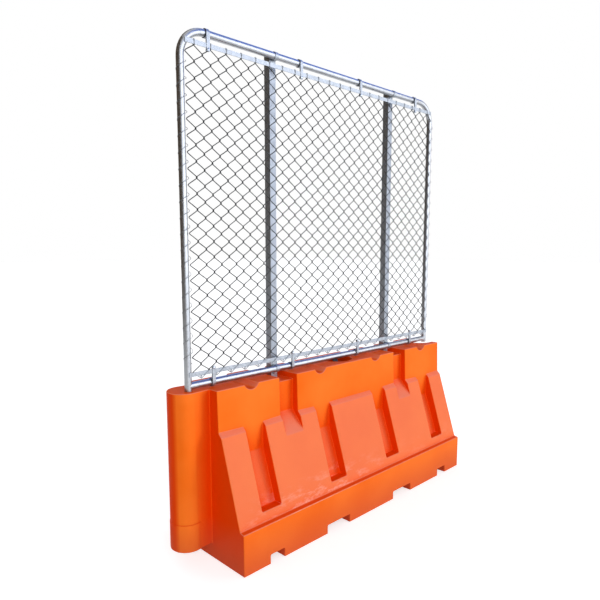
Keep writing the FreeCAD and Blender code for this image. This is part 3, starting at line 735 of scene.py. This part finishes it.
white_sheet = glowing_card("glowing_white_card", WHITE_SHEET, WHITE_GLOW)
blue_sheet = glowing_card("glowing_blue_card", BLUE_SHEET, BLUE_GLOW)
card_ring("front_card", white_sheet, from_degrees=-112, count=3, foot=0.0, top=WHITE_TOP)
card_ring("high_blue_card", blue_sheet, from_degrees=-90, count=4, foot=WHITE_TOP, top=HIGH_TOP)
card_ring("blue_card", blue_sheet, from_degrees=14, count=2, foot=5.0, top=HIGH_TOP)
card_ring("brown_card", brown_cloth, from_degrees=66, count=6, foot=0.0, top=HIGH_TOP)

# Light: a pale studio all round, and three broad lamps that don't show in reflections.
# The key stands low at the front right, the fill beside the camera, and a weaker one behind, so that
# the back isn't dark. To the eye and in reflections the studio is white.
ROOM_TINT = "#F1F4FA"
ROOM_STRENGTH = 0.45
KEY_ENERGY = 1.35
KEY_SPREAD = math.radians(18)
KEY_TRAVEL = (-0.70, 0.70, -0.09)
FILL_ENERGY = 2.0
FILL_SPREAD = math.radians(66)
FILL_TRAVEL = (0.48, 0.85, -0.20)
BACK_ENERGY = 1.1
BACK_SPREAD = math.radians(60)
BACK_TRAVEL = (-0.15, -0.94, -0.30)

world = bpy.data.worlds.new("studio")
bpy.context.scene.world = world
world.use_nodes = True
tree = world.node_tree
tree.nodes.clear()
room = add(tree, "ShaderNodeBackground", {"Color": linear(ROOM_TINT), "Strength": ROOM_STRENGTH}).outputs[0]
white = add(tree, "ShaderNodeBackground", {"Color": grey(1.0), "Strength": 1.0}).outputs[0]
studio = add(tree, "ShaderNodeMixShader", {0: seen_directly(tree), 1: room, 2: white}).outputs[0]
add(tree, "ShaderNodeOutputWorld", {"Surface": studio})


def broad_lamp(name, energy, spread, travel):
    """A distant lamp that shines along a direction, as broad as its spread."""
    data = bpy.data.lights.new(name, "SUN")
    data.energy = energy
    data.angle = spread
    lamp = bpy.data.objects.new(name, data)
    lamp.rotation_mode = "QUATERNION"
    lamp.rotation_quaternion = Vector(travel).to_track_quat("-Z", "Y")
    lamp.visible_glossy = False
    bpy.context.scene.collection.objects.link(lamp)


broad_lamp("key_light", KEY_ENERGY, KEY_SPREAD, KEY_TRAVEL)
broad_lamp("fill_light", FILL_ENERGY, FILL_SPREAD, FILL_TRAVEL)
broad_lamp("back_light", BACK_ENERGY, BACK_SPREAD, BACK_TRAVEL)

# Camera: where the photograph was taken from, at eye height off the barrier's left front corner.
# Its place, turn and lens were fitted to the photograph, and the lens's axis lies off the picture's middle.
CAMERA_PLACE = (-3.0055, -2.7177, 1.8697)
CAMERA_YAW = -0.7875
CAMERA_PITCH = 0.1275
CAMERA_ROLL = 0.0017
CAMERA_FOCAL_PX = 558.46
IMAGE_PX = 600
AXIS_PX = (306.77, 317.10)
SENSOR_WIDTH_MM = 36.0
camera_data = bpy.data.cameras.new("camera")
camera_data.sensor_width = SENSOR_WIDTH_MM
camera_data.lens = SENSOR_WIDTH_MM * CAMERA_FOCAL_PX / IMAGE_PX
camera_data.shift_x = (IMAGE_PX / 2 - AXIS_PX[0]) / IMAGE_PX
camera_data.shift_y = (AXIS_PX[1] - IMAGE_PX / 2) / IMAGE_PX
camera = bpy.data.objects.new("camera", camera_data)
camera.location = CAMERA_PLACE
camera.rotation_mode = "QUATERNION"
look = Vector((math.cos(CAMERA_PITCH) * math.sin(-CAMERA_YAW),
               math.cos(CAMERA_PITCH) * math.cos(CAMERA_YAW), -math.sin(CAMERA_PITCH)))
camera.rotation_quaternion = look.to_track_quat("-Z", "Y") @ Quaternion((0, 0, 1), CAMERA_ROLL)
bpy.context.scene.collection.objects.link(camera)
bpy.context.scene.camera = camera

bpy.context.scene.view_settings.view_transform = "Standard"

low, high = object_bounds()
